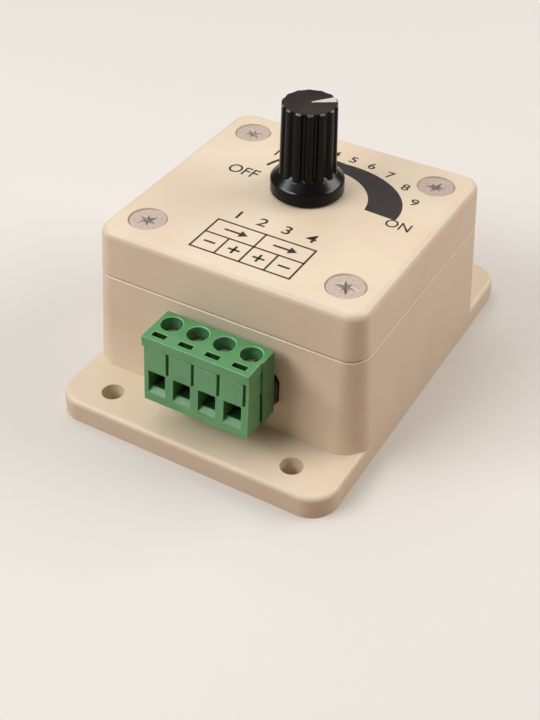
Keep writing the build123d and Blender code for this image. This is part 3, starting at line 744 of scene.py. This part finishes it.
# %% Finish the knob
rib_smooth_angle = math.radians(50)
knob.data.materials.append(finishes["knob_plastic"])
second_finish(knob, "knob_polished_cone", on_cone)
# Painted sheen on the top face and a painted highlight round the rim.
second_finish(knob, "knob_top_painted_sheen", on_face)
second_finish(knob, "knob_rim_highlight", on_rim)
bpy.ops.object.shade_smooth_by_angle(angle=rib_smooth_angle)
settle(knob, "fluted_knob", "control_knob", "knob_plastic", "knob")

# %% [markdown]
# ## The pointer
# A white wedge is let into the knob's top and printed flush. The frame's wedge is right in shape, so
# it only gets a hair of rounding along its edges.

# %% Pointer
softened("knob_pointer", 0.03, "control_knob", "white_plastic")

# %% [markdown]
# ## Cover screws
# Four flat countersunk screws hold the cover. Their heads are barrel-plated and faintly grainy. Each
# has a pressed cross with pointed arms that a slipping driver has widened to a star. The star's
# slopes are painted darker as shade, and its top edges are painted near-white, partly as plating
# rubbed bright and partly as a painted highlight. A cylinder is extruded down into a cone, a neck and
# a threaded shank, and this blank is copied four times. In each copy the star is cut by long flat
# pyramids that stand on their points, turned as that screw stopped.

# %% Measures of a screw
screw_low, screw_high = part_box("cover_screws")
head_radius = 3.2 * MM
head_rim = 0.4 * MM
shank_radius = 1.4 * MM
thread_pitch = 1.1 * MM
screw_point = 1.2 * MM
point_taper = 0.25
head_top = screw_high.z
head_cone = head_radius - shank_radius
screw_length = screw_high.z - screw_low.z
screw_reach = (screw_high - screw_low) / 2 - Vector((head_radius, head_radius, 0))
print("screw", round(screw_length / MM, 2), "mm long, head", round(2 * head_radius / MM, 2), "mm across")

# %% A screw without its star
screw_points = 64
one_turn = [(0.3, 1.0), (0.3, 0.8), (0.1, 1.0), (0.3, 1.25)]
turns = int((screw_length - head_rim - head_cone - screw_point) / thread_pitch)
steps = [(head_cone, shank_radius / head_radius)]
for share, ratio in one_turn * turns:
    steps.append((share * thread_pitch, ratio))
steps.append((screw_length - head_rim - head_cone - turns * thread_pitch, point_taper))

bpy.ops.object.select_all(action="DESELECT")
bpy.ops.mesh.primitive_cylinder_add(vertices=screw_points, radius=head_radius, depth=head_rim,
                                    location=(0, 0, head_top - head_rim / 2))
blank = bpy.context.object
bpy.ops.object.transform_apply(location=True, rotation=True, scale=True)
faces_where(blank, lambda middle, normal: normal.z < -0.9)
height = head_top - head_rim
for drop, ratio in steps:
    height -= drop
    bpy.ops.mesh.extrude_region_move(TRANSFORM_OT_translate={"value": (0, 0, -drop)})
    bpy.ops.transform.resize(value=(ratio, ratio, 1), center_override=(0, 0, height))
bpy.ops.object.mode_set(mode="OBJECT")
print("blank with", turns, "turns of thread,", len(blank.data.polygons), "faces")

# %% The star's cutters
star_arms = [(0, 2.35, 0.68, 1.1), (113, 2.3, 0.72, 1.1), (64, 1.95, 0.48, 0.8)]
star_sink = 0.45


def star_cutters(place, turn):
    """Pyramids with their points down. Each has a direction, half length, half width and depth."""
    cutters = []
    for angle, half_length, half_width, depth in star_arms:
        bpy.ops.object.select_all(action="DESELECT")
        bpy.ops.mesh.primitive_cone_add(vertices=4, radius1=1, radius2=0, depth=1, location=(0, 0, 0),
                                        rotation=(math.pi, 0, 0))
        cutter = bpy.context.object
        bpy.ops.object.transform_apply(location=True, rotation=True, scale=True)
        cutter.scale = (half_length * MM, half_width * MM, depth * MM)
        cutter.rotation_euler.z = math.radians(turn + angle)
        cutter.location = (place.x, place.y, head_top - star_sink * depth * MM)
        bpy.ops.object.transform_apply(location=True, rotation=True, scale=True)
        cutters.append(cutter)
    return cutters


def cut(piece, cutter):
    """Cuts one object out of another and removes the cutter."""
    boolean = piece.modifiers.new("cut", "BOOLEAN")
    boolean.operation = "DIFFERENCE"
    boolean.solver = "EXACT"
    boolean.object = cutter
    apply_modifiers(piece)
    bpy.data.objects.remove(cutter)


print("a star has", len(star_arms), "cuts")

# %% Worn edges, painted highlight and painted shade of a screw
wear_width = 0.07 * MM
wear_angle = math.radians(35)
wear_depth = 0.06 * MM
star_reach = 2.4 * MM
star_depth = 1.6 * MM


def finish_star(screw, place):
    """Rounds a screw's sharp edges and paints its star: the slopes darker as shade, and the top edge
    near-white, partly as rubbed plating and partly as a painted highlight.
    """
    def in_star(middle, normal):
        near = (middle.xy - place.xy).length < star_reach
        return near and middle.z > head_top - star_depth and normal.z < square_on

    def on_edge(middle, normal):
        return in_star(middle, normal) and middle.z > head_top - wear_depth

    wear = screw.modifiers.new("worn edges", "BEVEL")
    wear.width = wear_width
    wear.segments = 2
    wear.angle_limit = wear_angle
    apply_modifiers(screw)
    shade_evenly(screw)
    screw.data.materials.append(finishes["nickel_steel"])
    # Painted shade on the slopes inside the star.
    second_finish(screw, "star_shade_steel", in_star)
    # Painted highlight, together with rubbed plating, along the star's top edge.
    second_finish(screw, "worn_edge_highlight_steel", on_edge)


print("edges are worn", round(wear_width / MM, 2), "mm wide")

# %% Four screws, each turned as it stopped
screw_turns = {(-1, -1): 52, (1, -1): 3, (-1, 1): 33, (1, 1): 80}
screws = []
for (side_x, side_y), turn in screw_turns.items():
    place = Vector((side_x * screw_reach.x, side_y * screw_reach.y, 0))
    screw = bpy.data.objects.new("cover_screw", blank.data.copy())
    bpy.context.scene.collection.objects.link(screw)
    screw.location = place
    select_only(screw)
    bpy.ops.object.transform_apply(location=True, rotation=True, scale=True)
    for cutter in star_cutters(place, turn):
        cut(screw, cutter)
    finish_star(screw, place)
    screws.append(screw)
bpy.data.objects.remove(blank)
select_only(screws[0])
for screw in screws:
    screw.select_set(True)
bpy.ops.object.join()
settle(screws[0], "finished_cover_screws", "housing", "nickel_steel", "cover_screws")

# %% [markdown]
# ## Printing on the cover
# The cover carries a widening dial mark from OFF to ON, plain dial numbers, and a small table that
# gives the plug's poles. Ink stands a few hundredths of a millimetre proud of the plastic. Each mark
# is a closed flat shape of that thickness: letters come from text objects and bars from boxes, made
# into meshes before they are put in place.

# %% Ink helpers
ink_height = 0.025 * MM
ink_sink = 0.01 * MM
ink_depth = ink_height + ink_sink
ink_middle = cover_top + (ink_height - ink_sink) / 2
capital_share = 0.72
letter_steps = 6
marks = []


def keep_mark(piece):
    """Gives a mark its ink and keeps it for the joining at the end."""
    piece.data.materials.clear()
    piece.data.materials.append(finishes["print_ink"])
    marks.append(piece)


def lettering(words, middle, height, stretch=1.0, weight=0.0):
    """Words centred on a place of the cover, in millimetres, with capitals of a given height."""
    bpy.ops.object.select_all(action="DESELECT")
    bpy.ops.object.text_add(location=(0, 0, 0))
    text = bpy.context.object
    text.data.body = words
    text.data.align_x = "CENTER"
    text.data.align_y = "CENTER"
    text.data.size = height / capital_share * MM
    text.data.offset = weight * MM
    text.data.extrude = ink_depth / 2
    text.data.resolution_u = letter_steps
    bpy.ops.object.convert(target="MESH")
    piece = bpy.context.object
    piece.scale = (stretch, 1, 1)
    bpy.ops.object.transform_apply(location=False, rotation=False, scale=True)
    xs = [point.co.x for point in piece.data.vertices]
    ys = [point.co.y for point in piece.data.vertices]
    piece.location = (middle[0] * MM - (min(xs) + max(xs)) / 2, middle[1] * MM - (min(ys) + max(ys)) / 2,
                      ink_middle)
    bpy.ops.object.transform_apply(location=True, rotation=True, scale=True)
    keep_mark(piece)


def printed_bar(x0, x1, y0, y1):
    """A printed bar between two corners, in millimetres."""
    bpy.ops.object.select_all(action="DESELECT")
    bpy.ops.mesh.primitive_cube_add(size=1, location=((x0 + x1) / 2 * MM, (y0 + y1) / 2 * MM, ink_middle))
    piece = bpy.context.object
    piece.scale = ((x1 - x0) * MM, (y1 - y0) * MM, ink_depth)
    bpy.ops.object.transform_apply(location=True, rotation=True, scale=True)
    keep_mark(piece)


def printed_outline(points):
    """A printed area inside a ring of points on the cover, in metres."""
    curve = bpy.data.curves.new("outline", "CURVE")
    curve.dimensions = "2D"
    curve.fill_mode = "BOTH"
    curve.extrude = ink_depth / 2
    line = curve.splines.new("POLY")
    line.points.add(len(points) - 1)
    for place, (x, y) in zip(line.points, points):
        place.co = (x, y, 0, 1)
    line.use_cyclic_u = True
    piece = bpy.data.objects.new("outline", curve)
    bpy.context.scene.collection.objects.link(piece)
    select_only(piece)
    bpy.ops.object.convert(target="MESH")
    piece = bpy.context.object
    piece.location.z = ink_middle
    bpy.ops.object.transform_apply(location=True, rotation=True, scale=True)
    keep_mark(piece)


print("ink stands", round(ink_height / MM, 3), "mm proud")

# %% The dial's edges
def ellipse_radius(angle, middle, half_axes):
    """The distance from the knob's axis to an ellipse, along a direction. All in millimetres."""
    direction = (math.cos(angle) / half_axes[0], math.sin(angle) / half_axes[1])
    start = (middle[0] / half_axes[0], middle[1] / half_axes[1])
    along = direction[0] ** 2 + direction[1] ** 2
    half = direction[0] * start[0] + direction[1] * start[1]
    rest = start[0] ** 2 + start[1] ** 2 - 1
    return (half + math.sqrt(half ** 2 - along * rest)) / along


outer_middle, outer_axes = (3.1, -0.1), (14.65, 11.6)
inner_middle, inner_axes = (1.1, -1.5), (10.6, 10.0)
tail_width = 0.6
tail_rise = 1.2
tail_start = 160
tail_end = 80
dial_end = -3.5
step_count = 60


def dial_radius(degrees):
    """The mark's outer edge from the knob's axis: an ellipse that stands out more along the tail."""
    rise = 0
    if degrees > tail_end:
        rise = tail_rise * math.sin(math.pi * (tail_start - degrees) / (tail_start - tail_end))
    return ellipse_radius(math.radians(degrees), outer_middle, outer_axes) + rise


def on_dial(degrees, radius):
    """A place round the knob's axis, in metres."""
    angle = math.radians(degrees)
    return (knob_axis.x + radius * MM * math.cos(angle), knob_axis.y + radius * MM * math.sin(angle))


print("the mark ends", round(dial_radius(dial_end), 2), "mm from the knob's axis")

# %% Dial mark
outer_edge = []
inner_edge = []
for i in range(step_count + 1):
    degrees = tail_start + (dial_end - tail_start) * i / step_count
    outer = dial_radius(degrees)
    inner = ellipse_radius(math.radians(degrees), inner_middle, inner_axes)
    widening = min(1, (tail_start - degrees) / (tail_start - tail_end)) ** 2
    width = tail_width + (outer - inner - tail_width) * widening
    outer_edge.append(on_dial(degrees, outer))
    inner_edge.append(on_dial(degrees, outer - width))
printed_outline(outer_edge + inner_edge[::-1])
print("dial mark", len(outer_edge) * 2, "points")

# %% OFF, ON and the dial numbers
lettering("OFF", (-13.2, 4.5), 2.8, stretch=0.9, weight=0.01)
lettering("ON", (18.65, 2.45), 2.45, stretch=0.9, weight=0.01)
number_start, number_step = 142, 15.5
number_gap, number_height = 2.2, 2.1
for i in range(9):
    degrees = number_start - number_step * i
    x, y = on_dial(degrees, dial_radius(degrees) + number_gap)
    lettering(str(i + 1), (x / MM, y / MM), number_height, stretch=1.1, weight=0.02)
print(len(marks), "marks so far")

# %% Pole table
left, right, bottom, row, top = -8.58, 10.35, -20.65, -15.72, -11.5
line = 0.34
column = (right - left) / 4
sign_reach, sign_line = 1.1, 0.44
numbers_y = -8.6
arrow_tail, arrow_neck = 2.2, 1.0
tip_start, tip_end, tip_half_width = 0.8, 2.3, 0.95
for y in (bottom, row, top):
    printed_bar(left, right, y - line / 2, y + line / 2)
for x in (left, left + 2 * column, right):
    printed_bar(x - line / 2, x + line / 2, bottom - line / 2, top + line / 2)
for x in (left + column, left + 3 * column):
    printed_bar(x - line / 2, x + line / 2, bottom, row)
for i, sign in enumerate("-++-"):
    x = left + (i + 0.5) * column
    y = (bottom + row) / 2
    printed_bar(x - sign_reach, x + sign_reach, y - sign_line / 2, y + sign_line / 2)
    if sign == "+":
        printed_bar(x - sign_line / 2, x + sign_line / 2, y - sign_reach, y + sign_reach)
    lettering(str(i + 1), (x, numbers_y), 2.4, stretch=1.15, weight=0.03)
for x in (left + column, left + 3 * column):
    y = (row + top) / 2
    printed_bar(x - arrow_tail, x + arrow_neck, y - sign_line / 2, y + sign_line / 2)
    tip = [(x + tip_end, y), (x + tip_start, y + tip_half_width), (x + tip_start, y - tip_half_width)]
    printed_outline([(px * MM, py * MM) for px, py in tip])
print(len(marks), "marks in all")

# %% Join the printing
select_only(marks[0])
for mark in marks:
    mark.select_set(True)
bpy.ops.object.join()
settle(marks[0], "cover_printing", "housing", "black_plastic")
